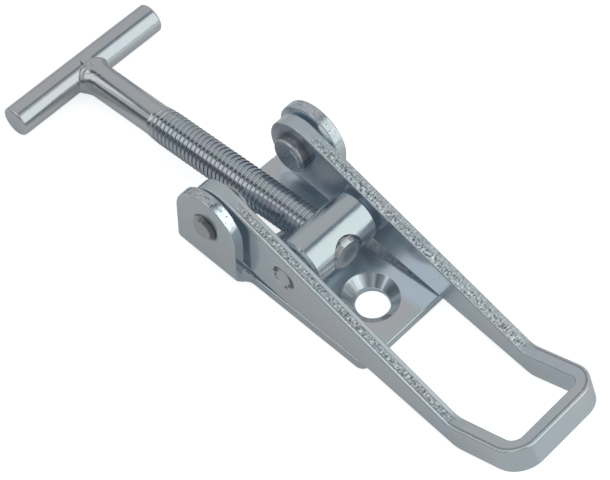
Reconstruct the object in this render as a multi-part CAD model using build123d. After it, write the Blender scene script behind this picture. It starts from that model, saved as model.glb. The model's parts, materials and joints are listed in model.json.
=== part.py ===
from build123d import *
import math
import os

# Toggle latch, millimetres. +X runs from the T-bar towards the lever's grip, +Y across, +Z up.
# The origin is on the underside of the base, midway between its two fixing holes.

# Base bracket: one folded sheet, a plate with two upright ears
sheet = 4.0
base_length = 73.6
base_width = 39.4
base_corner_radius = 3.0
ear_length = 25.0
ear_height = 34.3
bend_inner_radius = 3.5
ear_web_radius = 2.5
edge_break = 0.5

# Fixing holes in the base, countersunk from above a little off the holes' own centres
hole_spacing = 44.6
rear_hole_inset = 15.0
hole_diameter = 11.1
countersink_diameter = 18.4
countersink_depth = 2.8
countersink_shift = -1.0

# Lever: one strip on edge, bent to a U
strip = 5.0
lever_width = 39.3
lever_ear_clearance = 1.35
lever_end_radius = 10.7
lever_top_slope = 15.2
grip_slope = 24.2
grip_height = 8.7
lever_length = 119.0
grip_end_rise = 3.3
lever_corner_radius = 9.3
grip_inner_radius = 3.4
grip_bend_radius = 6.0
seat_clearance = 0.3
near_seat_from = 14.0

# Pivot of the lever in the ears
pivot_height = 22.15
pivot_inset = 12.6
rivet_diameter = 9.2
rivet_hole_clearance = 0.2
rivet_head_diameter = 12.4
rivet_head_thickness = 3.4
rivet_head_round = 0.9
rivet_proud = 1.6
rivet_chamfer = 1.1

# Trunnion: a round barrel with a journal at each end, cross-bored for the bolt
trunnion_offset = 27.5
trunnion_drop = 5.4
barrel_diameter = 17.3
barrel_end_gap = 1.3
barrel_chamfer = 0.9
journal_diameter = 8.0
journal_clearance = 0.08
journal_round = 0.9
journal_hole_break = 0.5
thread_clearance = 0.08

# T-bolt: a threaded rod with a cross-bar welded on its end
thread_diameter = 12.0
thread_runout = 3.4
shank_diameter = 10.9
shank_length = 35.2
bolt_reach = 109.8
bolt_protrusion = 0.3
bolt_end_chamfer = 1.2
t_bar_diameter = 10.6
t_bar_length = 61.6
t_bar_round = 0.9
t_bar_lift = 0.5
weld_radius = 6.4
weld_reach = 9.6
weld_cover = 0.5
weld_back = 1.5

# Places that follow from the sizes above
rear_x = -hole_spacing / 2 - rear_hole_inset
front_x = rear_x + base_length
ear_front_x = rear_x + ear_length
ear_width = lever_width + 2 * lever_ear_clearance + 2 * sheet
bend_outer_radius = bend_inner_radius + sheet
pivot_x = rear_x + pivot_inset
arm_outer_y = lever_width / 2
arm_inner_y = arm_outer_y - strip
trunnion_x = pivot_x + trunnion_offset
trunnion_z = pivot_height - trunnion_drop
t_bar_z = t_bar_diameter / 2 + t_bar_lift
bolt_pitch_angle = math.asin((trunnion_z - t_bar_z) / bolt_reach)
t_bar_x = trunnion_x - bolt_reach * math.cos(bolt_pitch_angle)
bolt_length = bolt_reach + barrel_diameter / 2 + bolt_protrusion
barrel_length = 2 * (arm_inner_y - barrel_end_gap)
grip_end_x = pivot_x + lever_length
grip_end_z = pivot_height - grip_end_rise

# The bolt's own plane: origin on the cross-bar's axis, local Z along the bolt towards the trunnion
bolt_plane = Plane(
    origin=(t_bar_x, 0, t_bar_z),
    x_dir=(0, 1, 0),
    z_dir=(math.cos(bolt_pitch_angle), 0, math.sin(bolt_pitch_angle)),
)


def along_y(radius, y_from, y_to, x, z):
    """A cylinder on an axis parallel to Y."""
    plane = Plane(origin=(x, y_from, z), x_dir=(1, 0, 0), z_dir=(0, 1, 0))
    return extrude(plane * Circle(radius), y_to - y_from)


def folded_section(length):
    """The U of the ears and the floor between them, square along X."""
    outer_y = ear_width / 2
    section = Plane(origin=(rear_x, 0, 0), x_dir=(0, 1, 0), z_dir=(1, 0, 0)) * (
        Pos(0, ear_height / 2) * Rectangle(2 * outer_y, ear_height)
    )
    block = extrude(section, length)
    floor_edges = block.edges().filter_by(Axis.X).sort_by(Axis.Z)[:2]
    block = fillet(floor_edges, bend_outer_radius)
    inner_height = ear_height - sheet
    hollow = Pos(rear_x + length / 2, 0, sheet + inner_height / 2) * Box(
        2 * length, 2 * (outer_y - sheet), inner_height
    )
    hollow = fillet(
        hollow.edges().filter_by(Axis.X).sort_by(Axis.Z)[:2], bend_inner_radius
    )
    return block - hollow


def base_channel():
    """The folded section cut to the ears' round-topped outline, its rims broken."""
    top_radius = ear_length / 2
    outline = Plane.XZ * (
        Pos((rear_x + ear_front_x) / 2, (ear_height - top_radius) / 2)
        * Rectangle(ear_length, ear_height - top_radius)
        + Pos((rear_x + ear_front_x) / 2, ear_height - top_radius) * Circle(top_radius)
    )
    channel = folded_section(ear_length) & extrude(outline, ear_width, both=True)
    ear_rims = [
        e
        for e in channel.edges()
        if e.bounding_box().min.Z > bend_outer_radius - 0.01
        and e.bounding_box().size.Y < 0.01
        and e.bounding_box().size.Z > 0.1
    ]
    return fillet(ear_rims, edge_break)


def ear_webs():
    """The bends' tails, run out in front of the ears to a rounded inner corner with the plate."""
    radius = ear_web_radius
    half = base_width / 2
    web_from = ear_front_x - edge_break
    web_to = ear_front_x + radius
    outline = Pos((web_from + web_to) / 2, 0) * Rectangle(web_to - web_from, 2 * (half + radius))
    for side in (-1, 1):
        outline -= Pos(web_to, side * (half + radius)) * Circle(radius)
    return folded_section(ear_length + radius) & extrude(outline, 2 * sheet)


def base_plate():
    """The flat of the base in front of the ears, rims broken, with its neck between the bends."""
    neck_width = ear_width - 2 * bend_outer_radius
    wide_from = ear_front_x
    wide = Pos((wide_from + front_x) / 2, 0, sheet / 2) * Box(
        front_x - wide_from, base_width, sheet
    )
    corners = wide.edges().filter_by(Axis.Z).sort_by(Axis.X)[-2:]
    wide = fillet(corners, base_corner_radius)
    rims = wide.edges().filter_by(lambda e: e.bounding_box().size.Z < 0.01)
    wide = fillet(rims, edge_break)
    neck = Pos((rear_x + wide_from) / 2, 0, sheet / 2) * Box(
        wide_from - rear_x, neck_width, sheet
    )
    return wide + neck


def fixing_hole(x):
    hole = Pos(x, 0, sheet / 2) * Cylinder(hole_diameter / 2, 2 * sheet)
    cone = Pos(x + countersink_shift, 0, sheet - countersink_depth / 2) * Cone(
        hole_diameter / 2, countersink_diameter / 2, countersink_depth
    )
    return hole + cone


def base_bracket():
    body = base_plate() + base_channel() + ear_webs()
    outer_y = ear_width / 2
    body -= along_y(
        rivet_diameter / 2 + rivet_hole_clearance,
        -2 * outer_y,
        2 * outer_y,
        pivot_x,
        pivot_height,
    )
    for x in (-hole_spacing / 2, hole_spacing / 2):
        body -= fixing_hole(x)
    return body


def lever_outline():
    """The lever seen from the side: round at the pivot, tapering to the grip, which turns up."""
    top = math.radians(lever_top_slope)
    grip = math.radians(grip_slope)
    seat = (front_x - pivot_x, sheet + seat_clearance - pivot_height)
    reach = math.hypot(*seat)
    low = math.atan2(seat[1], seat[0]) + math.asin(lever_end_radius / reach)
    top_tangent = (
        pivot_x + lever_end_radius * math.sin(top),
        pivot_height + lever_end_radius * math.cos(top),
    )
    low_tangent = (
        pivot_x + lever_end_radius * math.sin(low),
        pivot_height - lever_end_radius * math.cos(low),
    )
    end_top = (grip_end_x, grip_end_z)
    end_low = (
        grip_end_x + grip_height * math.sin(grip),
        grip_end_z - grip_height * math.cos(grip),
    )
    top_bend = meet(top_tangent, -math.tan(top), end_top, math.tan(grip))
    low_bend = meet(low_tangent, math.tan(low), end_low, math.tan(grip))
    return [top_tangent, top_bend, end_top, end_low, low_bend, low_tangent]


def near_arm_belly():
    """What the near arm has below the far one: its lower edge lies on the plate and curves up to the pivot."""
    seat_z = sheet + seat_clearance
    reach = near_seat_from - pivot_x
    rise = pivot_height - seat_z
    radius = (reach**2 + rise**2 - lever_end_radius**2) / (2 * (rise - lever_end_radius))
    centre_z = seat_z + radius
    angle = math.atan2(reach, centre_z - pivot_height)
    middle, end = [
        (near_seat_from - radius * math.sin(turn), centre_z - radius * math.cos(turn))
        for turn in (angle / 2, angle)
    ]
    seat_back, seat_front = (near_seat_from, seat_z), (front_x, seat_z)
    edge = Line(seat_front, seat_back) + ThreePointArc(seat_back, middle, end)
    edge += Polyline(end, (pivot_x, pivot_height), seat_front)
    return extrude(Plane.XZ * make_face(edge), lever_width)


def meet(p, slope_p, q, slope_q):
    """Where two lines cross, each given by a point and a slope."""
    x = (q[1] - p[1] + slope_p * p[0] - slope_q * q[0]) / (slope_p - slope_q)
    return x, p[1] + slope_p * (x - p[0])


def lever_side():
    """The side outline as a block, wider than the lever, with its two grip bends rounded."""
    points = lever_outline()
    top_bend, low_bend = points[1], points[4]
    block = extrude(Plane.XZ * make_face(Polyline(*points, close=True)), lever_width, both=True)
    bends = [
        e
        for e in block.edges().filter_by(Axis.Y)
        if min(
            math.dist((e.center().X, e.center().Z), top_bend),
            math.dist((e.center().X, e.center().Z), low_bend),
        )
        < 0.01
    ]
    block = fillet(bends, grip_bend_radius)
    block += along_y(lever_end_radius, -lever_width, lever_width, pivot_x, pivot_height)
    return block + near_arm_belly()


def lever():
    """The strip's U, raised square to the grip so that the end bar leans with it."""
    grip = math.radians(grip_slope)
    u_length = 2 * lever_length
    plane = Plane(
        origin=(grip_end_x, 0, grip_end_z),
        x_dir=(math.cos(grip), 0, math.sin(grip)),
        z_dir=(-math.sin(grip), 0, math.cos(grip)),
    )
    outer = Pos(-u_length / 2, 0) * Rectangle(u_length, lever_width)
    inner = Pos(-u_length / 2 - strip, 0) * Rectangle(
        u_length, lever_width - 2 * strip
    )
    outer = fillet(outer.vertices().sort_by(Axis.X)[-2:], lever_corner_radius)
    inner = fillet(inner.vertices().sort_by(Axis.X)[-2:], grip_inner_radius)
    u_wall = extrude(plane * (outer - inner), 2 * lever_length, both=True)
    body = u_wall & lever_side()
    rims = [
        e
        for e in body.edges()
        if abs(abs(e.center().Y) - arm_outer_y) < 0.01
        or abs(abs(e.center().Y) - arm_inner_y) < 0.01
    ]
    body = fillet(rims, edge_break)
    body -= along_y(
        rivet_diameter / 2, -lever_width, lever_width, pivot_x, pivot_height
    )
    body -= along_y(
        journal_diameter / 2 + journal_clearance,
        -lever_width,
        lever_width,
        trunnion_x,
        trunnion_z,
    )
    hole_rims = [
        e
        for e in body.edges().filter_by(GeomType.CIRCLE)
        if abs(abs(e.arc_center.Y) - arm_outer_y) < 0.01
        and abs(e.arc_center.X - trunnion_x) < 0.01
    ]
    return chamfer(hole_rims, journal_hole_break)


def pivot_rivet(side):
    """side is -1 for the near ear and 1 for the far one."""
    shank_end = ear_width / 2 + rivet_proud
    shank = along_y(
        rivet_diameter / 2, arm_inner_y, shank_end, pivot_x, pivot_height
    )
    shank = chamfer(shank.edges().sort_by(Axis.Y)[-1], rivet_chamfer)
    head = along_y(
        rivet_head_diameter / 2,
        arm_inner_y - rivet_head_thickness,
        arm_inner_y,
        pivot_x,
        pivot_height,
    )
    head = fillet(head.edges().sort_by(Axis.Y)[0], rivet_head_round)
    rivet = shank + head
    return rivet if side > 0 else rivet.mirror(Plane.XZ)


def trunnion():
    barrel = along_y(
        barrel_diameter / 2,
        -barrel_length / 2,
        barrel_length / 2,
        trunnion_x,
        trunnion_z,
    )
    barrel = chamfer(barrel.edges().filter_by(GeomType.CIRCLE), barrel_chamfer)
    journals = along_y(
        journal_diameter / 2, -arm_outer_y, arm_outer_y, trunnion_x, trunnion_z
    )
    journals = fillet(journals.edges().filter_by(GeomType.CIRCLE), journal_round)
    bore = bolt_plane * Cylinder(
        thread_diameter / 2 + thread_clearance,
        2 * bolt_length,
    )
    return barrel + journals - bore


def threaded_bolt():
    """The rod from the cross-bar through the trunnion, with the thread as its plain outside."""
    thread_from = shank_length
    rod = bolt_plane * (
        Pos(0, 0, thread_from / 2) * Cylinder(shank_diameter / 2, thread_from)
    )
    runout = bolt_plane * (
        Pos(0, 0, thread_from + thread_runout / 2)
        * Cone(shank_diameter / 2, thread_diameter / 2, thread_runout)
    )
    plain = bolt_length - thread_from - thread_runout
    thread = Cylinder(thread_diameter / 2, plain)
    thread = chamfer(
        thread.edges().filter_by(GeomType.CIRCLE).sort_by(Axis.Z)[-1], bolt_end_chamfer
    )
    thread = bolt_plane * (
        Pos(0, 0, thread_from + thread_runout + plain / 2) * thread
    )
    bar = along_y(t_bar_diameter / 2, -t_bar_length, t_bar_length, t_bar_x, t_bar_z)
    return rod + runout + thread - bar


def t_bar():
    bar = along_y(
        t_bar_diameter / 2, -t_bar_length / 2, t_bar_length / 2, t_bar_x, t_bar_z
    )
    return fillet(bar.edges().filter_by(GeomType.CIRCLE), t_bar_round)


def t_bar_weld():
    """The weld's flare in the corner of bolt and cross-bar, wide along the bar and thin over the bolt."""
    rod_radius = shank_diameter / 2
    flare = Polyline(
        (0, weld_back), (weld_radius, weld_back), (weld_radius, t_bar_diameter / 2)
    )
    sweep = ThreePointArc(
        (weld_radius, t_bar_diameter / 2),
        (
            rod_radius + (weld_radius - rod_radius) * 0.28,
            t_bar_diameter / 2 + (weld_reach - t_bar_diameter / 2) * 0.45,
        ),
        (rod_radius, weld_reach),
    )
    close = Polyline((rod_radius, weld_reach), (0, weld_reach), (0, weld_back))
    face = make_face(Plane.XZ * (flare + sweep + close))
    ring = bolt_plane * revolve(face, Axis.Z)
    rod = bolt_plane * Cylinder(rod_radius, 4 * weld_reach)
    bar = along_y(t_bar_diameter / 2, -t_bar_length, t_bar_length, t_bar_x, t_bar_z)
    slab = bolt_plane * Box(4 * weld_radius, 2 * (rod_radius + weld_cover), 4 * weld_reach)
    ring = (ring & slab) - rod - bar
    return ring.solids().sort_by(SortBy.VOLUME)[-1]


parts = {
    "base_bracket": base_bracket(),
    "lever": lever(),
    "near_pivot_rivet": pivot_rivet(-1),
    "far_pivot_rivet": pivot_rivet(1),
    "trunnion_barrel": trunnion(),
    "threaded_bolt": threaded_bolt(),
    "t_bar": t_bar(),
    "t_bar_weld": t_bar_weld(),
}

os.makedirs("parts", exist_ok=True)
for name, shape in parts.items():
    export_step(shape, f"parts/{name}.step")
    print(name, round(shape.volume, 1))
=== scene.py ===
import json
import math

import bmesh
import bpy
from mathutils import Matrix, Vector, noise


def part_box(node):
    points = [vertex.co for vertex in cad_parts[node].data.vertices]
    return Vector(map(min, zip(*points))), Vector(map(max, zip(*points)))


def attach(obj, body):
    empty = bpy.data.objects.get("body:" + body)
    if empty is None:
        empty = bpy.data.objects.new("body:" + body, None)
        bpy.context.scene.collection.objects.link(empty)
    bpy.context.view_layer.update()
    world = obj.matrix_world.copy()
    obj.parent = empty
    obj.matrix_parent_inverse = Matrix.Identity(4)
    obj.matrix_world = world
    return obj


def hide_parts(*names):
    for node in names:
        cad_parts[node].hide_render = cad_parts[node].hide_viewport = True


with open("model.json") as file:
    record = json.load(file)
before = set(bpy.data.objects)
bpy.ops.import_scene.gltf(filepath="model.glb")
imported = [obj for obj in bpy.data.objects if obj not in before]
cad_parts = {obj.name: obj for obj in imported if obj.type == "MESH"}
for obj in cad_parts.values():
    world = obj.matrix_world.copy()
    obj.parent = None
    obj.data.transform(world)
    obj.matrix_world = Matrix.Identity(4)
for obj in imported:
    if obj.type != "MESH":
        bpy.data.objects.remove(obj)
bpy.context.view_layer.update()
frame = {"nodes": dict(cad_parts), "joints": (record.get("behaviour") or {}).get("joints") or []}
print("latch loaded:", ", ".join(sorted(frame["nodes"])))

mm = 0.001
bpy.context.scene.view_settings.view_transform = "Standard"


# small helpers for nodes and meshes

def addNode(tree, kind, values=None, **settings):
    node = tree.nodes.new(kind)
    for name, value in settings.items():
        setattr(node, name, value)
    for name, value in (values or {}).items():
        if isinstance(value, bpy.types.NodeSocket):
            tree.links.new(value, node.inputs[name])
        else:
            node.inputs[name].default_value = value
    return node


def mathNode(tree, operation, first, second=0.0, clamp=False):
    node = addNode(
        tree, "ShaderNodeMath", {0: first, 1: second}, operation=operation, use_clamp=clamp,
    )
    return node.outputs[0]


def vectorNode(tree, operation, first, second=(0.0, 0.0, 0.0)):
    node = addNode(tree, "ShaderNodeVectorMath", {0: first, 1: second}, operation=operation)
    return node.outputs["Value" if operation in ("LENGTH", "DOT_PRODUCT") else "Vector"]


def multiply(tree, first, *others):
    for other in others:
        first = mathNode(tree, "MULTIPLY", first, other)
    return first


def absolute(tree, value):
    return mathNode(tree, "ABSOLUTE", value)


def hypotenuse(tree, first, second):
    squares = mathNode(tree, "ADD", multiply(tree, first, first), multiply(tree, second, second))
    return mathNode(tree, "SQRT", squares)


def smoothStep(tree, value, low, high):
    node = addNode(
        tree, "ShaderNodeMapRange", {"Value": value, "From Min": low, "From Max": high},
        interpolation_type="SMOOTHSTEP", clamp=True,
    )
    return node.outputs["Result"]


def raggedly(tree, value, grain, size):
    offset = multiply(tree, mathNode(tree, "SUBTRACT", grain, 0.5), size)
    return mathNode(tree, "ADD", value, offset)


def noiseNode(tree, place, scale, detail, roughness=0.5):
    values = {"Vector": place, "Scale": scale, "Detail": detail, "Roughness": roughness}
    return addNode(tree, "ShaderNodeTexNoise", values).outputs["Fac"]


def colorRamp(tree, value, stops):
    node = addNode(tree, "ShaderNodeValToRGB", {"Fac": value})
    ramp = node.color_ramp
    while len(ramp.elements) < len(stops):
        ramp.elements.new(1.0)
    for element, (place, color) in zip(ramp.elements, stops):
        element.position = place
        element.color = color if isinstance(color, tuple) else (color, color, color, 1.0)
    return node.outputs["Color"]


def mixColor(tree, factor, first, second, blend="MIX"):
    # a mix node's colour sockets come after its number and vector sockets
    node = addNode(
        tree, "ShaderNodeMix", {0: factor, 6: first, 7: second}, data_type="RGBA", blend_type=blend,
    )
    return node.outputs[2]


def makePiece(name, bm, material, body, replaced, sharpAngle):
    mesh = bpy.data.meshes.new(name)
    bm.to_mesh(mesh)
    bm.free()
    for polygon in mesh.polygons:
        polygon.use_smooth = True
    mesh.set_sharp_from_angle(angle=math.radians(sharpAngle))
    mesh.materials.append(material)
    piece = bpy.data.objects.new(name, mesh)
    bpy.context.scene.collection.objects.link(piece)
    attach(piece, body)
    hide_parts(replaced)
    print(f"{name}: {len(mesh.polygons)} faces")


# bright zinc plating, bluish with faint warm and green patches
# in this look and those below, a pair says where something starts and where it is full

zincLook = {
    "blue": (0.555, 0.605, 0.65, 1.0),
    "warm": (0.595, 0.6, 0.615, 1.0),
    "green": (0.56, 0.612, 0.625, 1.0),
    "patchScale": 55.0,
    "patchDetail": 3.0,
    "patchStops": {"blue": 0.36, "green": 0.5, "warm": 0.64},
    "grainScale": 900.0,
    "grainDetail": 4.0,
    "grainRoughness": 0.6,
    "grainDepth": 0.12 * mm,
    "grainGloss": 0.12,
    "peelScale": 260.0,
    "peelDetail": 2.0,
    "peelDepth": 0.4 * mm,
    # a faint bluish glow on every zinc and steel finish: painted light that lifts the darkest slots
    "paintedGlowColor": (0.55, 0.75, 1.0, 1.0),
    "paintedGlowStrength": 0.035,
}
barTints = {
    "blue": (0.54, 0.56, 0.59, 1.0),
    "warm": (0.57, 0.558, 0.57, 1.0),
    "green": (0.555, 0.565, 0.563, 1.0),
}
barrelTints = {
    "blue": (0.535, 0.58, 0.605, 1.0),
    "warm": (0.57, 0.59, 0.595, 1.0),
    "green": (0.545, 0.59, 0.59, 1.0),
}


def addBump(look, strength, distance, height):
    values = {"Strength": strength, "Distance": distance, "Height": height}
    if "normal" in look:
        values["Normal"] = look["normal"]
    look["normal"] = addNode(look["tree"], "ShaderNodeBump", values).outputs["Normal"]


def tintBy(look, mask, tint):
    tree = look["tree"]
    shade = (tint, tint, tint, 1.0) if isinstance(tint, float) else tint
    tinted = mixColor(tree, 1.0, look["color"], shade, "MULTIPLY")
    look["color"] = mixColor(tree, mask, look["color"], tinted)


def zincBase(name, roughness, grainBump=0.06, peelBump=0.05, tints=zincLook):
    material = bpy.data.materials.new(name)
    material.use_nodes = True
    tree = material.node_tree
    shader = tree.nodes["Principled BSDF"]
    shader.inputs["Metallic"].default_value = 1.0
    # painted light: every finish made here glows faintly
    shader.inputs["Emission Color"].default_value = zincLook["paintedGlowColor"]
    shader.inputs["Emission Strength"].default_value = zincLook["paintedGlowStrength"]
    place = addNode(tree, "ShaderNodeTexCoord").outputs
    look = {"material": material, "tree": tree, "shader": shader, "place": place}
    patches = noiseNode(tree, place["Object"], zincLook["patchScale"], zincLook["patchDetail"])
    stops = [(stop, tints[name]) for name, stop in zincLook["patchStops"].items()]
    look["color"] = colorRamp(tree, patches, stops)
    look["grain"] = noiseNode(
        tree, place["Object"], zincLook["grainScale"], zincLook["grainDetail"],
        zincLook["grainRoughness"],
    )
    look["roughness"] = raggedly(tree, roughness, look["grain"], zincLook["grainGloss"])
    peel = noiseNode(tree, place["Object"], zincLook["peelScale"], zincLook["peelDetail"])
    addBump(look, peelBump, zincLook["peelDepth"], peel)
    addBump(look, grainBump, zincLook["grainDepth"], look["grain"])
    return look


def finishZinc(look):
    tree, shader = look["tree"], look["shader"]
    tree.links.new(look["color"], shader.inputs["Base Color"])
    tree.links.new(look["roughness"], shader.inputs["Roughness"])
    tree.links.new(look["normal"], shader.inputs["Normal"])
    return look["material"]


def splitXyz(look, output):
    return addNode(look["tree"], "ShaderNodeSeparateXYZ", {"Vector": look["place"][output]}).outputs


def fromAxis(tree, place, axis):
    alongX = mathNode(tree, "SUBTRACT", place["X"], axis["x"])
    alongZ = mathNode(tree, "SUBTRACT", place["Z"], axis["z"])
    return {"x": alongX, "z": alongZ, "radius": hypotenuse(tree, alongX, alongZ)}


def towardsGrip(tree, offset, slant):  # near 1 on the grip's side of an axis, raised by the slant
    side = mathNode(tree, "ADD", offset["x"], multiply(tree, offset["z"], slant))
    return mathNode(tree, "DIVIDE", side, offset["radius"])


# the sheared edge: fine bright and dark grains where the strip or sheet was cut

shearLook = {
    "scale": (1800.0, 1050.0, 1800.0),
    "detail": 3.0,
    "grainRoughness": 0.65,
    "shade": [(0.40, 0.22), (0.47, 0.85), (0.55, 1.0), (0.64, 1.85)],
    "depth": 0.13 * mm,
    "roughness": 0.12,
}


def addShear(look, mask):
    tree = look["tree"]
    stretched = addNode(
        tree, "ShaderNodeMapping", {"Vector": look["place"]["Object"], "Scale": shearLook["scale"]},
    ).outputs["Vector"]
    grains = noiseNode(tree, stretched, 1.0, shearLook["detail"], shearLook["grainRoughness"])
    tintBy(look, mask, colorRamp(tree, grains, shearLook["shade"]))
    addBump(look, mask, shearLook["depth"], grains)
    rougher = multiply(tree, mask, shearLook["roughness"])
    look["roughness"] = mathNode(tree, "ADD", look["roughness"], rougher, clamp=True)
    return grains


# the barrel's journal ends: a ragged dark ring of painted shade in the gap round each

journalGapShade = {
    "x": 2.8 * mm,
    "z": 16.75 * mm,
    "inside": (2.7 * mm, 3.0 * mm),
    "outside": (4.3 * mm, 3.95 * mm),
    "raggedness": 2.4 * mm,
    "ends": (0.25, 0.85),
    "outerFaces": (17.5 * mm, 18 * mm),
    "tint": 0.22,
}


def addJournalGapShade(look, place):
    tree = look["tree"]
    offset = fromAxis(tree, place, journalGapShade)
    ragged = raggedly(tree, offset["radius"], look["grain"], journalGapShade["raggedness"])
    # painted shade, darkest towards the pivot and towards the grip
    ends = mathNode(tree, "DIVIDE", absolute(tree, offset["x"]), offset["radius"])
    ring = multiply(
        tree, smoothStep(tree, ragged, *journalGapShade["inside"]),
        smoothStep(tree, ragged, *journalGapShade["outside"]),
        smoothStep(tree, ends, *journalGapShade["ends"]),
        smoothStep(tree, absolute(tree, place["Y"]), *journalGapShade["outerFaces"]),
    )
    tintBy(look, ring, journalGapShade["tint"])


# the lever: shear grains on top of its arms, and lines along the strip's top, partly its shear
# zones and partly a painted highlight with dark lines off its rounded outer edge
# the bands and lines run across the strip, from 0 at the U's inside to 1 at its outside

pivot = {
    "x": -24.7 * mm,
    "z": 22.15 * mm,
    "innerSides": (15 * mm, 14.8 * mm),
}
leverSizes = {
    "strip": 5.0 * mm,
    "corner": 9.3 * mm,
    "gripSlope": math.radians(24.2),
    "gripEndX": 94.3 * mm,
    "gripEndZ": 18.85 * mm,
}
leverLook = {
    "roughness": 0.2,
    "upward": (0.78, 0.88),
    "shearStarts": (-21 * mm, -15 * mm),
    "shearEnds": (71 * mm, 65 * mm),
    "farShear": [(0.04, 0.0), (0.12, 1.0), (0.52, 1.0), (0.62, 0.45), (0.97, 0.45)],
    "nearShear": [(0.28, 0.0), (0.34, 1.0), (0.70, 1.0), (0.78, 0.1)],
    "linesStart": (-24 * mm, -16 * mm),
    "lineRaggedness": 0.14,
    "farLines": [
        (0.0, 1.1), (0.08, 1.1), (0.13, 1.0), (0.46, 1.0), (0.52, 0.62), (0.58, 0.95), (1.0, 0.95),
    ],
    "nearLines": [
        (0.0, 1.12), (0.27, 1.12), (0.31, 0.6), (0.36, 0.88), (0.70, 0.88), (0.76, 0.5),
        (0.80, 0.6), (0.84, 1.5), (0.90, 1.5), (0.94, 0.5), (1.0, 0.75),
    ],
    "gripStarts": (68 * mm, 72 * mm),
    "gripLines": [(0.0, 1.0), (0.68, 1.0), (0.76, 0.5), (0.82, 0.62), (0.88, 1.2), (1.0, 1.1)],
    "topRoughness": 0.2,
    "topRoughnessEnds": (75 * mm, 70 * mm),
    "headShadow": (8.6 * mm, 6.2 * mm),
    "headShadowTint": 0.4,
}


def acrossStrip(tree, place):
    size = leverSizes
    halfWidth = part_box("lever")[1][1]
    sideIn = mathNode(tree, "SUBTRACT", halfWidth, absolute(tree, place["Y"]))
    fromEndX = multiply(
        tree, mathNode(tree, "SUBTRACT", size["gripEndX"], place["X"]), math.cos(size["gripSlope"]),
    )
    fromEndZ = multiply(
        tree, mathNode(tree, "SUBTRACT", size["gripEndZ"], place["Z"]), math.sin(size["gripSlope"]),
    )
    endIn = mathNode(tree, "ADD", fromEndX, fromEndZ)
    sideOver = mathNode(tree, "MAXIMUM", mathNode(tree, "SUBTRACT", size["corner"], sideIn), 0.0)
    endOver = mathNode(tree, "MAXIMUM", mathNode(tree, "SUBTRACT", size["corner"], endIn), 0.0)
    pastCorner = mathNode(tree, "SUBTRACT", hypotenuse(tree, sideOver, endOver), size["corner"])
    return mathNode(tree, "ADD", mathNode(tree, "DIVIDE", pastCorner, size["strip"]), 1.0)


def leverZinc():
    look = zincBase("lever zinc", leverLook["roughness"])
    tree = look["tree"]
    place, normal = splitXyz(look, "Object"), splitXyz(look, "Normal")
    across = acrossStrip(tree, place)
    upward = smoothStep(tree, absolute(tree, normal["Z"]), *leverLook["upward"])
    onArm = multiply(
        tree, smoothStep(tree, place["X"], *leverLook["shearStarts"]),
        smoothStep(tree, place["X"], *leverLook["shearEnds"]),
    )
    isFar = smoothStep(tree, place["Y"], -mm, mm)
    sheared = mixColor(
        tree, isFar, colorRamp(tree, across, leverLook["nearShear"]),
        colorRamp(tree, across, leverLook["farShear"]),
    )
    mask = mathNode(tree, "MULTIPLY", multiply(tree, upward, onArm), sheared, clamp=True)
    grains = addShear(look, mask)
    # lighter and darker lines along the strip's top: partly its smooth and torn shear zones, partly
    # a painted highlight off its rounded outer edge with dark lines beside it
    ragged = raggedly(tree, across, grains, leverLook["lineRaggedness"])
    armShearAndSheenLines = mixColor(
        tree, isFar, colorRamp(tree, ragged, leverLook["nearLines"]),
        colorRamp(tree, ragged, leverLook["farLines"]),
    )
    shearAndSheenLines = mixColor(
        tree, smoothStep(tree, place["X"], *leverLook["gripStarts"]), armShearAndSheenLines,
        colorRamp(tree, ragged, leverLook["gripLines"]),
    )
    onLines = multiply(tree, upward, smoothStep(tree, place["X"], *leverLook["linesStart"]))
    tintBy(look, onLines, shearAndSheenLines)
    onTop = multiply(tree, upward, smoothStep(tree, place["X"], *leverLook["topRoughnessEnds"]))
    rougher = multiply(tree, onTop, leverLook["topRoughness"])
    look["roughness"] = mathNode(tree, "ADD", look["roughness"], rougher)
    addJournalGapShade(look, place)
    # painted shadow round the rivet heads on the arms' inner faces
    fromPivot = fromAxis(tree, place, pivot)
    headShadow = multiply(
        tree, smoothStep(tree, fromPivot["radius"], *leverLook["headShadow"]),
        smoothStep(tree, absolute(tree, place["Y"]), *pivot["innerSides"]),
    )
    tintBy(look, headShadow, leverLook["headShadowTint"])
    return finishZinc(look)


# the base: painted shade round the rivets and on the near ear, worn ear crowns with a painted
# highlight on their fronts, and streaked countersinks with painted light and shade

bracketLook = {
    "roughness": 0.2,
    "crown": (27 * mm, 31 * mm),
    "outward": (0.5, 0.2),
    "crownShear": 0.22,
    "rim": (5.9 * mm, 4.9 * mm),
    "rimSlant": 0.5,
    "rimSide": (-0.2, 0.7),
    "rimShade": 0.3,
    "upright": (0.9, 0.97),
    "nearFaceShade": 0.91,
}
crownWear = {
    "specks": (0.42, 0.38),
    "specksFrom": (29 * mm, 32 * mm),
    "farSpecks": 0.35,
    "speckTint": 0.35,
    "raggedness": 0.5,
    "burnishFrom": (0.28, 0.4),
    "burnishTo": (0.85, 0.75),
    "burnishAndHighlightTint": 1.6,
    "inward": (-0.8, -0.95),
    "rollFrom": (8.2 * mm, 8.8 * mm),
    "rollHeight": (13.6 * mm, 8.2 * mm),
    "rollDepth": 3.2 * mm,
    "rollLeast": 0.4,
}
countersink = {
    "centre": 21.9 * mm,
    "rim": (9.45 * mm, 9.35 * mm),
    "notPlate": (0.97, 0.9),
    "notBore": (0.2, 0.4),
    "streaks": 1.7,
    "streakDetail": 3.0,
    "streakShade": [(0.38, 0.45), (0.46, 0.9), (0.54, 1.05), (0.62, 1.4)],
    "turnLightAndShade": [
        (0.0, 1.0), (0.04, 0.75), (0.12, 1.1), (0.28, 0.95), (0.42, 1.1), (0.5, 1.45), (0.6, 1.4),
        (0.7, 0.75), (0.765, 0.7), (0.785, 1.4), (0.805, 0.6), (0.87, 0.9), (0.9, 0.65),
        (0.94, 1.15), (1.0, 1.15),
    ],
    "ring": 0.5 * mm,
    "ringDepth": 0.02 * mm,
}


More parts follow.
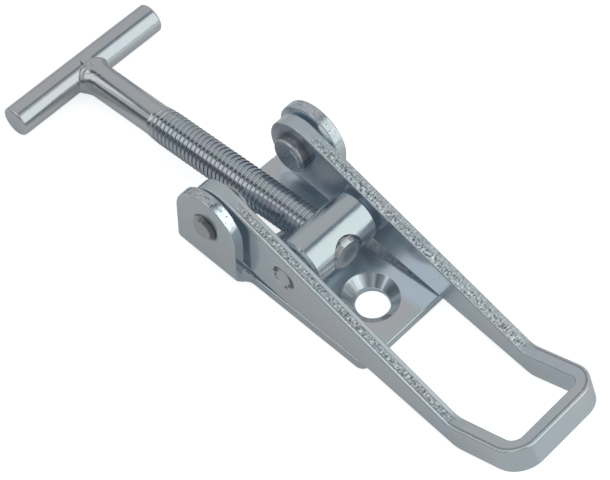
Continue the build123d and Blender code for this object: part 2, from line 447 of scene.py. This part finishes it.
def addCrownWear(look, place, normal, crown, outward, isNear):
    tree, wear = look["tree"], crownWear
    fromPivot = fromAxis(tree, place, pivot)
    radius = fromPivot["radius"]
    # dark specks where the shear tore the crowns
    specks = multiply(
        tree, smoothStep(tree, look["grain"], *wear["specks"]), outward,
        smoothStep(tree, place["Z"], *wear["specksFrom"]),
        mathNode(tree, "MAXIMUM", isNear, wear["farSpecks"]),
    )
    tintBy(look, specks, wear["speckTint"])
    # the crowns' front, on the near ear's edge and the far ear's rolled inner corner: partly
    # burnished metal, partly a painted highlight
    frontward = mathNode(tree, "DIVIDE", fromPivot["x"], radius)
    ragged = raggedly(tree, frontward, look["grain"], wear["raggedness"])
    burnishedAndLit = multiply(
        tree, smoothStep(tree, ragged, *wear["burnishFrom"]),
        smoothStep(tree, ragged, *wear["burnishTo"]),
    )
    rolled = multiply(
        tree, smoothStep(tree, normal["Y"], *wear["inward"]), smoothStep(tree, place["Y"], -mm, mm),
        smoothStep(tree, radius, *wear["rollFrom"]),
    )
    worn = mathNode(tree, "ADD", multiply(tree, outward, isNear, crown), rolled)
    tintBy(look, multiply(tree, burnishedAndLit, worn), wear["burnishAndHighlightTint"])
    rollStrength = multiply(tree, mathNode(tree, "MAXIMUM", burnishedAndLit, wear["rollLeast"]), rolled)
    addBump(look, rollStrength, wear["rollDepth"], smoothStep(tree, radius, *wear["rollHeight"]))


def addCountersinks(look, place, normal):
    tree = look["tree"]
    shifted = mathNode(tree, "SUBTRACT", absolute(tree, place["X"]), countersink["centre"])
    angle = mathNode(tree, "ARCTAN2", place["Y"], shifted)
    radius = hypotenuse(tree, shifted, place["Y"])
    onCone = multiply(
        tree, smoothStep(tree, radius, *countersink["rim"]),
        smoothStep(tree, normal["Z"], *countersink["notPlate"]),
        smoothStep(tree, normal["Z"], *countersink["notBore"]),
    )
    streaked = multiply(tree, angle, countersink["streaks"])
    streaks = addNode(
        tree, "ShaderNodeTexNoise",
        {"W": streaked, "Scale": 1.0, "Detail": countersink["streakDetail"]},
        noise_dimensions="1D",
    ).outputs["Fac"]
    # painted light and shade by angle round each cone, for what it reflects; the streaks are the
    # cone's own marks
    turn = mathNode(tree, "ADD", mathNode(tree, "DIVIDE", angle, 2 * math.pi), 0.5)
    shade = mixColor(
        tree, 1.0, colorRamp(tree, streaks, countersink["streakShade"]),
        colorRamp(tree, turn, countersink["turnLightAndShade"]), "MULTIPLY",
    )
    tintBy(look, onCone, shade)
    rings = mathNode(tree, "SINE", multiply(tree, radius, 2 * math.pi / countersink["ring"]))
    addBump(look, onCone, countersink["ringDepth"], rings)


def bracketZinc():
    look = zincBase("bracket zinc", bracketLook["roughness"])
    tree = look["tree"]
    place, normal = splitXyz(look, "Object"), splitXyz(look, "Normal")
    crown = smoothStep(tree, place["Z"], *bracketLook["crown"])
    outward = smoothStep(tree, absolute(tree, normal["Y"]), *bracketLook["outward"])
    isNear = smoothStep(tree, place["Y"], mm, -mm)
    addShear(look, multiply(tree, crown, outward, bracketLook["crownShear"]))
    # painted shade: a dark rim round each rivet, deepest towards the grip and up
    fromPivot = fromAxis(tree, place, pivot)
    toFront = towardsGrip(tree, fromPivot, bracketLook["rimSlant"])
    rim = multiply(
        tree, smoothStep(tree, fromPivot["radius"], *bracketLook["rim"]),
        smoothStep(tree, toFront, *bracketLook["rimSide"]),
    )
    tintBy(look, rim, bracketLook["rimShade"])
    # painted shade: the near ear's upright faces a little darker
    upright = smoothStep(tree, absolute(tree, normal["Y"]), *bracketLook["upright"])
    tintBy(look, multiply(tree, upright, isNear), bracketLook["nearFaceShade"])
    addCrownWear(look, place, normal, crown, outward, isNear)
    addCountersinks(look, place, normal)
    return finishZinc(look)


# the rivets: duller steel, painted shade as a dark crescent on the outer ends and on the inner
# heads' sides, and painted highlights as bright lines on the inner heads' rims

rivetLook = {
    "roughness": 0.27,
    "grainBump": 0.2,
    "peelBump": 0.25,
    "outerEnd": (20 * mm, 22 * mm),
    "innerSteel": (0.48, 0.485, 0.51, 1.0),
    "outerSteel": (0.36, 0.345, 0.31, 1.0),
    "steelShare": 0.75,
    "slant": 0.6,
    "crescent": (3.3 * mm, 3.9 * mm),
    "crescentSide": (0.1, 0.8),
    "crescentShade": 0.3,
    "headSide": (12.0 * mm, 12.3 * mm),
    "sideShade": (0.4, 0.37, 0.36, 1.0),
    "line": 0.85 * mm,
    "lineEdge": (-0.9, 0.9),
    "lineDepth": 0.4 * mm,
    "linesFrom": (3.7 * mm, 4.0 * mm),
    "linesTo": (5.4 * mm, 5.2 * mm),
    "innerEnd": (12.1 * mm, 11.9 * mm),
    "linesSide": (0.7, 1.0),
    "highlightLineColor": (0.95, 0.96, 0.97, 1.0),
}


def rivetSteel():
    rivet = rivetLook
    look = zincBase("rivet steel", rivet["roughness"], rivet["grainBump"], rivet["peelBump"])
    tree = look["tree"]
    place = splitXyz(look, "Object")
    depth = absolute(tree, place["Y"])
    outer = smoothStep(tree, depth, *rivet["outerEnd"])
    steel = mixColor(tree, outer, rivet["innerSteel"], rivet["outerSteel"])
    look["color"] = mixColor(tree, rivet["steelShare"], look["color"], steel)
    fromPivot = fromAxis(tree, place, pivot)
    radius = fromPivot["radius"]
    toFront = towardsGrip(tree, fromPivot, rivet["slant"])
    # painted shade: a dark crescent on each outer end's rim towards the grip
    crescent = multiply(
        tree, smoothStep(tree, radius, *rivet["crescent"]), outer,
        smoothStep(tree, toFront, *rivet["crescentSide"]),
    )
    tintBy(look, crescent, rivet["crescentShade"])
    # painted shade on the sides of the inner heads
    side = multiply(
        tree, smoothStep(tree, depth, *rivet["headSide"]),
        smoothStep(tree, depth, *pivot["innerSides"]),
    )
    tintBy(look, side, rivet["sideShade"])
    # painted highlights: bright lines on the inner heads' rims towards the grip, over a bump of
    # fine grooves
    groove = mathNode(tree, "SINE", multiply(tree, radius, 2 * math.pi / rivet["line"]))
    onLines = multiply(
        tree, smoothStep(tree, radius, *rivet["linesFrom"]),
        smoothStep(tree, radius, *rivet["linesTo"]), smoothStep(tree, depth, *rivet["innerEnd"]),
        smoothStep(tree, toFront, *rivet["linesSide"]),
    )
    look["color"] = mixColor(tree, onLines, look["color"], rivet["highlightLineColor"])
    addBump(look, onLines, rivet["lineDepth"], smoothStep(tree, groove, *rivet["lineEdge"]))
    return finishZinc(look)


# the turned barrel and the drawn bar, both smoother than the sheet

turnedLook = {"roughness": 0.17, "barrelGrain": 0.3, "barGrain": 0.03}


def barrelZinc():
    look = zincBase(
        "barrel zinc", turnedLook["roughness"], turnedLook["barrelGrain"], tints=barrelTints,
    )
    addJournalGapShade(look, splitXyz(look, "Object"))
    return finishZinc(look)


def barZinc():
    look = zincBase("bolt zinc", turnedLook["roughness"], turnedLook["barGrain"], tints=barTints)
    return finishZinc(look)


boltMaterial = barZinc()
rivetMaterial = rivetSteel()
nodeMaterials = {
    "base_bracket": bracketZinc(),
    "lever": leverZinc(),
    "near_pivot_rivet": rivetMaterial,
    "far_pivot_rivet": rivetMaterial,
    "trunnion_barrel": barrelZinc(),
    "t_bar": boltMaterial,
}
for nodeName, material in nodeMaterials.items():
    frame["nodes"][nodeName].data.materials[0] = material
print("zinc and steel finishes made")


# the T-bolt's own axes: local X is across the latch, local Z runs along the rod from the cross-bar

barLow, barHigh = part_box("t_bar")
barRadius = (barHigh[0] - barLow[0]) / 2
barCentre = Vector(((barLow[0] + barHigh[0]) / 2, 0.0, (barLow[2] + barHigh[2]) / 2))
boltJoint = next(joint for joint in frame["joints"] if joint["name"] == "bolt_turn")
rodAxis = Vector(boltJoint["axis"]).normalized()
sideAxis = Vector((0.0, 1.0, 0.0))
upAxis = rodAxis.cross(sideAxis)
boltTurn = Matrix((sideAxis, upAxis, rodAxis)).transposed().to_4x4()
boltPlace = Matrix.Translation(barCentre) @ boltTurn


# the rod: rolled metric thread on a plain shank
# the rise and fall of a thread's flanks are given as shares of the pitch

rodSizes = {
    "shankRadius": 5.45 * mm,
    "crestRadius": 6.0 * mm,
    "rootRadius": 5.62 * mm,
    "pitch": 1.75 * mm,
    "shankLength": 34.9 * mm,
    "runout": 6.0 * mm,
    "length": 118.75 * mm,
    "tipChamfer": 1.2 * mm,
    "crestSoftness": 0.06 * mm,
    "rise": (0.54, 0.65, 0.7),
    "fall": (0.84, 0.89, 1.0),
    "runoutPower": 0.6,
    "barEmbed": 0.5 * mm,
    "stepsPerTurn": 60,
    "mergeWithin": 0.002 * mm,
    "rimWithin": 0.01 * mm,
}

# the thread's tint from root to crest, a painted shade that darkens its flanks, and the sawn end's
# rings from its middle to its rim
threadLook = {
    "roughness": 0.17,
    "grainBump": 0.03,
    "tint": [
        (0.0, (0.78, 0.86, 0.93, 1.0)), (0.15, (0.78, 0.86, 0.93, 1.0)), (0.3, 0.42),
        (0.75, 0.42), (0.95, 0.95),
    ],
    "endEdge": 0.1 * mm,
    "endRings": [
        (0.0, 0.9), (0.35, 0.85), (0.5, 1.25), (0.68, 1.3), (0.76, 0.75), (0.82, 1.0),
        (0.9, 0.8), (1.0, 0.65),
    ],
    "endRaggedness": 1.5 * mm,
}


def threadZinc():
    size = rodSizes
    look = zincBase("thread zinc", threadLook["roughness"], threadLook["grainBump"], tints=barTints)
    tree = look["tree"]
    fromBar = vectorNode(tree, "SUBTRACT", look["place"]["Object"], barCentre)
    radius = vectorNode(tree, "LENGTH", vectorNode(tree, "CROSS_PRODUCT", fromBar, rodAxis))
    along = vectorNode(tree, "DOT_PRODUCT", fromBar, rodAxis)
    onThread = smoothStep(tree, along, size["shankLength"], size["shankLength"] + size["runout"])
    tip = size["length"] - size["tipChamfer"]
    onTip = smoothStep(tree, along, tip - threadLook["endEdge"], tip)
    risen = mathNode(
        tree, "DIVIDE", mathNode(tree, "SUBTRACT", radius, size["rootRadius"]),
        size["crestRadius"] - size["rootRadius"],
    )
    onThread = mathNode(tree, "SUBTRACT", onThread, onTip)
    # painted shade: the thread darker on its flanks, bluish at its roots, light at its crests
    tintBy(look, onThread, colorRamp(tree, risen, threadLook["tint"]))
    ragged = raggedly(tree, radius, look["grain"], threadLook["endRaggedness"])
    outward = mathNode(tree, "DIVIDE", ragged, size["crestRadius"])
    tintBy(look, onTip, colorRamp(tree, outward, threadLook["endRings"]))
    return finishZinc(look)


def buildRod():
    size = rodSizes
    pitch, root, crest = size["pitch"], size["rootRadius"], size["crestRadius"]
    flank = (root, crest - size["crestSoftness"], crest)
    outline = [(root, 0.0), *zip(flank, size["rise"]), *zip(reversed(flank), size["fall"])]
    bm = bmesh.new()
    start = size["shankLength"] - 2 * pitch  # the turns that start too early are cut off below
    verts = [bm.verts.new((radius, 0.0, start + share * pitch)) for radius, share in outline]
    edges = [bm.edges.new(pair) for pair in zip(verts, verts[1:])]
    bmesh.ops.spin(
        bm, geom=verts + edges, cent=(0, 0, 0), axis=(0, 0, 1), angle=2 * math.pi,
        dvec=(0, 0, pitch / size["stepsPerTurn"]), steps=size["stepsPerTurn"], use_duplicate=False,
    )
    oneTurn = bm.verts[:] + bm.edges[:] + bm.faces[:]
    for turn in range(1, math.ceil((size["length"] - start) / pitch) + 1):
        copied = bmesh.ops.duplicate(bm, geom=oneTurn)["geom"]
        copiedVerts = [item for item in copied if isinstance(item, bmesh.types.BMVert)]
        bmesh.ops.translate(bm, vec=(0, 0, turn * pitch), verts=copiedVerts)
    bmesh.ops.remove_doubles(bm, verts=bm.verts, dist=size["mergeWithin"])
    for vert in bm.verts:
        radius = math.hypot(vert.co.x, vert.co.y)
        into = min(max((vert.co.z - size["shankLength"]) / size["runout"], 0.0), 1.0)
        wanted = size["shankRadius"] + (radius - size["shankRadius"]) * into ** size["runoutPower"]
        wanted = min(wanted, crest + min(0.0, size["length"] - size["tipChamfer"] - vert.co.z))
        vert.co.xy *= wanted / radius
    for height, above in ((size["shankLength"], False), (size["length"], True)):
        bmesh.ops.bisect_plane(
            bm, geom=bm.verts[:] + bm.edges[:] + bm.faces[:], plane_co=(0, 0, height),
            plane_no=(0, 0, 1), clear_outer=above, clear_inner=not above,
        )
    # the plain shank runs on to the cross-bar and ends just inside it
    shankRim = [
        edge for edge in bm.edges if edge.is_boundary
        and all(abs(end.co.z - size["shankLength"]) < size["rimWithin"] for end in edge.verts)
    ]
    extruded = bmesh.ops.extrude_edge_only(bm, edges=shankRim)["geom"]
    for vert in (item for item in extruded if isinstance(item, bmesh.types.BMVert)):
        reach = math.sqrt(max(barRadius ** 2 - vert.co.y ** 2, 0.0))
        vert.co.z = max(reach - size["barEmbed"], 0.0)
    bmesh.ops.holes_fill(bm, edges=[edge for edge in bm.edges if edge.is_boundary], sides=0)
    bmesh.ops.recalc_face_normals(bm, faces=bm.faces)
    bmesh.ops.transform(bm, matrix=boltPlace, verts=bm.verts)
    makePiece(
        "threaded_rod", bm, threadZinc(), "t_bolt", "threaded_bolt", sharpAngle=28,
    )


buildRod()


# the weld: a smooth collar that flows from the rod into the cross-bar, fullest near and low

weldSizes = {
    "collarRadius": 6.75 * mm,
    "rodRadius": 5.47 * mm,
    "sink": 0.4 * mm,
    "reach": 10.4 * mm,
    "widest": 4.6 * mm,
    "flarePower": 2.2,
    "domeLength": 3.7 * mm,
    "start": 1.6 * mm,
    "topRise": 5.95 * mm,
    "lump": 0.55 * mm,
    "lumpAngle": math.radians(204.0),
    "lumpWidth": 0.45,
    "lumpCentre": 5.3 * mm,
    "lumpReach": 3.2 * mm,
    "rippleHeight": 0.02 * mm,
    "rippleSize": 4.0 * mm,
    "rings": 30,
    "segments": 96,
}


def buildWeld():
    size = weldSizes
    bm = bmesh.new()
    verts = [bm.verts.new((size["rodRadius"] - size["sink"], 0.0, size["reach"]))]
    for step in range(size["rings"] + 1):
        share = step / size["rings"]
        along = size["reach"] + (size["start"] - size["reach"]) * share
        flare = min((size["reach"] - along) / (size["reach"] - size["widest"]), 1.0)
        swell = (size["collarRadius"] - size["rodRadius"]) * flare ** size["flarePower"]
        radius = size["rodRadius"] + swell
        inDome = max(0.0, size["widest"] - along) / size["domeLength"]
        radius *= math.sqrt(1 - inDome ** 2)
        verts.append(bm.verts.new((radius, 0.0, along)))
    edges = [bm.edges.new(pair) for pair in zip(verts, verts[1:])]
    bmesh.ops.spin(
        bm, geom=verts + edges, cent=(0, 0, 0), axis=(0, 0, 1), angle=2 * math.pi,
        steps=size["segments"], use_merge=True, use_duplicate=False,
    )
    bmesh.ops.holes_fill(bm, edges=[edge for edge in bm.edges if edge.is_boundary], sides=0)
    for vert in bm.verts:
        radius = math.hypot(vert.co.x, vert.co.y)
        angle = math.atan2(vert.co.y, vert.co.x)
        nearBar = max(0.0, 1.0 - abs(vert.co.z - size["lumpCentre"]) / size["lumpReach"])
        turnAway = angle - size["lumpAngle"]
        turnAway = math.atan2(math.sin(turnAway), math.cos(turnAway))
        lump = size["lump"] * nearBar * math.exp(-((turnAway / size["lumpWidth"]) ** 2))
        ripple = size["rippleHeight"] * noise.noise(vert.co / size["rippleSize"]) * nearBar
        vert.co.xy *= (radius + lump + ripple) / radius
        vert.co.y *= 1 - (1 - size["topRise"] / size["collarRadius"]) * nearBar
    bmesh.ops.recalc_face_normals(bm, faces=bm.faces)
    bmesh.ops.transform(bm, matrix=boltPlace, verts=bm.verts)
    makePiece("weld_bead", bm, boltMaterial, "t_bolt", "t_bar_weld", sharpAngle=60)


buildWeld()


# floor, world, lamps and camera

def aimAt(elevation, azimuth):
    high, turn = math.radians(elevation), math.radians(azimuth)
    level = math.cos(high)
    return Vector((level * math.cos(turn), level * math.sin(turn), math.sin(high)))


studio = {
    "floorSize": 6.0,
    "floorColor": (0.565, 0.57, 0.575, 1.0),
    "floorRoughness": 0.9,
    "floorGloss": 0.1,
    "coatRoughness": 0.08,
    "cameraGlow": 0.8,
    "glossyGlow": 0.12,
    "skyColor": (0.56, 0.56, 0.56, 1.0),
    "horizonColor": (0.4, 0.42, 0.44, 1.0),
    "skyFrom": 0.02,
    "skyFull": 0.25,
}

# soft patches of the surroundings that the metal mirrors, by elevation and azimuth in degrees
worldCards = [
    {"aim": (5, -122), "radius": 15, "softness": 6, "color": (0.09, 0.09, 0.1, 1.0)},
    {"aim": (2, -95), "radius": 10, "softness": 9, "color": (0.1, 0.11, 0.13, 1.0)},
    {"aim": (49, -38), "radius": 12, "softness": 10, "color": (0.22, 0.23, 0.25, 1.0)},
    {"aim": (0, 23), "radius": 9, "softness": 6, "color": (0.4, 0.48, 0.52, 1.0)},
    {"aim": (59, -122), "radius": 11, "softness": 6, "color": (1.15, 1.18, 1.22, 1.0)},
    {"aim": (66.5, 88), "radius": 5, "softness": 3, "color": (0.11, 0.16, 0.23, 1.0)},
    {"aim": (49.5, -167), "radius": 9, "softness": 2, "color": (0.05, 0.053, 0.056, 1.0)},
]


def flatSheet(name, width, height, matrix, material):
    bm = bmesh.new()
    bmesh.ops.create_grid(bm, x_segments=1, y_segments=1, size=0.5)
    bmesh.ops.scale(bm, vec=(width, height, 1.0), verts=bm.verts)
    bmesh.ops.transform(bm, matrix=matrix, verts=bm.verts)
    mesh = bpy.data.meshes.new(name)
    bm.to_mesh(mesh)
    bm.free()
    mesh.materials.append(material)
    sheet = bpy.data.objects.new(name, mesh)
    bpy.context.scene.collection.objects.link(sheet)
    return sheet


def buildFloor():
    material = bpy.data.materials.new("white acrylic floor")
    material.use_nodes = True
    tree = material.node_tree
    shader = tree.nodes["Principled BSDF"]
    shader.inputs["Base Color"].default_value = studio["floorColor"]
    shader.inputs["Roughness"].default_value = studio["floorRoughness"]
    shader.inputs["Specular IOR Level"].default_value = studio["floorGloss"]
    shader.inputs["Coat Weight"].default_value = 1.0
    shader.inputs["Coat Roughness"].default_value = studio["coatRoughness"]
    shader.inputs["Emission Color"].default_value = (1.0, 1.0, 1.0, 1.0)
    ray = addNode(tree, "ShaderNodeLightPath").outputs
    mirrored = mathNode(tree, "MAXIMUM", ray["Is Glossy Ray"], ray["Is Transmission Ray"])
    seen = multiply(tree, ray["Is Camera Ray"], studio["cameraGlow"])
    glow = mathNode(tree, "ADD", seen, multiply(tree, mirrored, studio["glossyGlow"]))
    tree.links.new(glow, shader.inputs["Emission Strength"])
    floor = flatSheet("floor", studio["floorSize"], studio["floorSize"], Matrix(), material)


def buildWorld():
    world = bpy.data.worlds.new("soft studio")
    bpy.context.scene.world = world
    world.use_nodes = True
    tree = world.node_tree
    direction = addNode(tree, "ShaderNodeTexCoord").outputs["Generated"]
    height = addNode(tree, "ShaderNodeSeparateXYZ", {"Vector": direction}).outputs["Z"]
    sky = smoothStep(tree, height, studio["skyFrom"], studio["skyFull"])
    color = mixColor(tree, sky, studio["horizonColor"], studio["skyColor"])
    for card in worldCards:
        facing = vectorNode(tree, "DOT_PRODUCT", direction, aimAt(*card["aim"]))
        inner = math.cos(math.radians(card["radius"]))
        outer = math.cos(math.radians(card["radius"] + card["softness"]))
        color = mixColor(tree, smoothStep(tree, facing, outer, inner), color, card["color"])
    tree.links.new(color, tree.nodes["Background"].inputs["Color"])


# softboxes: where each stands, which way it faces, its size, and how far its dark back shows
# above it and beside it, which draws a thin line along its highlight

lamps = {
    "main softbox": {
        "place": (0.699, 0.437, 0.578), "face": (34.5, 32), "size": (0.933, 1.24), "radiance": 1.18,
        "color": (0.9, 0.965, 0.955), "margin": (0.04, 0.04),
    },
    "side softbox": {
        "place": (-0.57, -0.59, 0.586), "face": (35, -134), "size": (0.86, 0.4), "radiance": 0.98,
        "color": (0.97, 0.97, 0.95), "margin": (0.06, 0.14),
    },
}
backColor = (0.08, 0.1, 0.14, 1.0)
backGap = 0.01


def buildLamps():
    backMaterial = bpy.data.materials.new("softbox back")
    backMaterial.use_nodes = True
    backMaterial.node_tree.nodes["Principled BSDF"].inputs["Base Color"].default_value = backColor
    for name, lamp in lamps.items():
        place = Vector(lamp["place"])
        turn = aimAt(*lamp["face"]).to_track_quat("Z", "Y").to_matrix().to_4x4()
        data = bpy.data.lights.new(name, "AREA")
        data.shape = "RECTANGLE"
        data.size, data.size_y = lamp["size"]
        data.color = lamp["color"]
        data.energy = lamp["radiance"] * math.pi * data.size * data.size_y
        light = bpy.data.objects.new(name, data)
        light.matrix_world = Matrix.Translation(place) @ turn
        bpy.context.scene.collection.objects.link(light)
        above, beside = lamp["margin"]
        backPlace = Matrix.Translation(place + turn @ Vector((0, above / 2, backGap))) @ turn
        plane = flatSheet(
            name + " back", data.size + 2 * beside, data.size_y + above, backPlace, backMaterial,
        )
        plane.visible_camera = plane.visible_diffuse = plane.visible_shadow = False


cameraView = {
    "place": (242.724 * mm, -268.144 * mm, 544.618 * mm),
    "right": (0.72682501, 0.68679999, 0.00558341),
    "up": (-0.57000212, 0.59864526, 0.5627801),
    "lens": 123.69,
    "sensor": 36.0,
}


def buildCamera():
    data = bpy.data.cameras.new("camera")
    data.sensor_fit = "HORIZONTAL"
    data.sensor_width = cameraView["sensor"]
    data.lens = cameraView["lens"]
    camera = bpy.data.objects.new("camera", data)
    right, up = Vector(cameraView["right"]).normalized(), Vector(cameraView["up"]).normalized()
    turn = Matrix((right, up, right.cross(up))).transposed().to_4x4()
    camera.matrix_world = Matrix.Translation(cameraView["place"]) @ turn
    bpy.context.scene.collection.objects.link(camera)
    bpy.context.scene.camera = camera


buildFloor()
buildWorld()
buildLamps()
buildCamera()
print("studio and camera ready")
